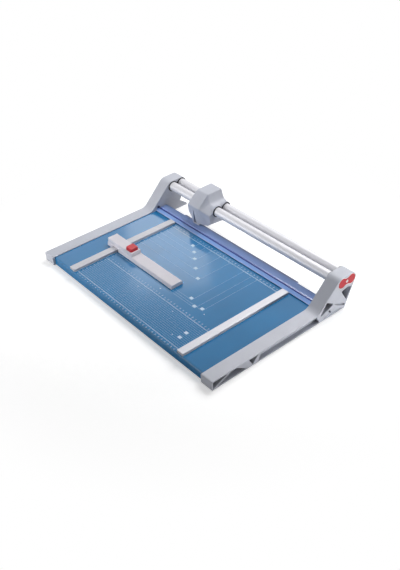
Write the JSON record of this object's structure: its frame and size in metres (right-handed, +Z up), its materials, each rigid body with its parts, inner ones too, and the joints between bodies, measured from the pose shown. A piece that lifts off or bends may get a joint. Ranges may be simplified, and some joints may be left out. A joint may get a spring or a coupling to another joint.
{
  "type": "rolling paper trimmer",
  "caption": "Desk paper trimmer: blue table between grey end frames, a rotary blade head sliding on twin rails along a lower knife, a clear clamp strip, rulers and a back stop.",
  "frame": {"origin": "on the floor, in the middle of the outline seen from above", "axes": "+Z up, +Y along the cut away from the user, +X from the table's front edge to the cutting edge"},
  "size_m": [0.3964, 0.582, 0.105],
  "materials": {
    "blue_paint": "semi-gloss powder coat",
    "dark_steel": "black painted steel",
    "ground_steel": "ground",
    "light_grey": "satin moulded",
    "mid_grey": "satin moulded",
    "warm_grey": "fine texture",
    "silver": "satin anodised",
    "red": "gloss moulded",
    "black_rubber": "matt",
    "white_bearing": "natural bearing plastic",
    "clear_blue": "tinted clear extrusion",
    "black_plastic": "moulded",
    "spring_steel": "bright",
    "zinc": "zinc plated"
  },
  "bodies": {
    "base": {"board": "blue_paint", "stiffeners": "dark_steel", "lower_knife": "ground_steel", "knife_bar": "dark_steel", "knife_screws": "zinc", "bar_screws": "zinc", "near_frame": "light_grey", "far_frame": "light_grey", "front_rail": "silver", "rear_rail": "silver", "rail_plugs": "zinc", "rail_bolts": "zinc", "near_cap": "red", "far_cap": "red", "cap_rims": "white_bearing", "cap_pins": "white_bearing", "near_ruler": "silver", "far_ruler": "silver", "ruler_screws": "zinc", "board_studs": "zinc", "feet": "black_rubber", "frame_seals": "black_rubber", "clamp_springs": "spring_steel"},
    "head": {"head_housing": "mid_grey", "head_base": "mid_grey", "head_screws": "zinc", "rail_bushes": "white_bearing", "head_seals": "black_rubber", "press_shoe": "white_bearing", "blade_axle": "ground_steel", "blade_carrier": "black_plastic", "spring_washer": "spring_steel"},
    "blade": {"rotary_blade": "ground_steel", "blade_hub": "black_plastic"},
    "clamp": {"clamp_strip": "clear_blue"},
    "stop": {"stop_body": "warm_grey", "stop_floor": "warm_grey", "lock_jaw": "spring_steel", "button_spring": "spring_steel"},
    "button": {"stop_button": "red"}
  },
  "joints": [
    {"name": "head_slide", "type": "slide", "parent": "base", "child": "head", "axis": [0, 1, 0], "range_m": [-0.349, 0.083]},
    {"name": "blade_spin", "type": "hinge", "parent": "head", "child": "blade", "pos_m": [0.1384, 0.1387, 0.0415], "axis": [1, 0, 0], "continuous": true},
    {"name": "clamp_press", "type": "slide", "parent": "base", "child": "clamp", "axis": [0, 0, 1], "range_m": [-0.0014, 0], "stiffness_N_per_m": 600, "springref_m": 0.003, "deforming": ["clamp_springs"]},
    {"name": "stop_slide", "type": "slide", "parent": "base", "child": "stop", "axis": [1, 0, 0], "range_m": [-0.115, 0.138]},
    {"name": "button_press", "type": "slide", "parent": "stop", "child": "button", "axis": [0, 0, 1], "range_m": [-0.0025, 0], "stiffness_N_per_m": 800, "springref_m": 0.002, "deforming": ["button_spring"]}
  ],
  "couplings": [
    {"joint": "blade_spin", "follows": "head_slide", "rad_per_m": -43.478}
  ]
}
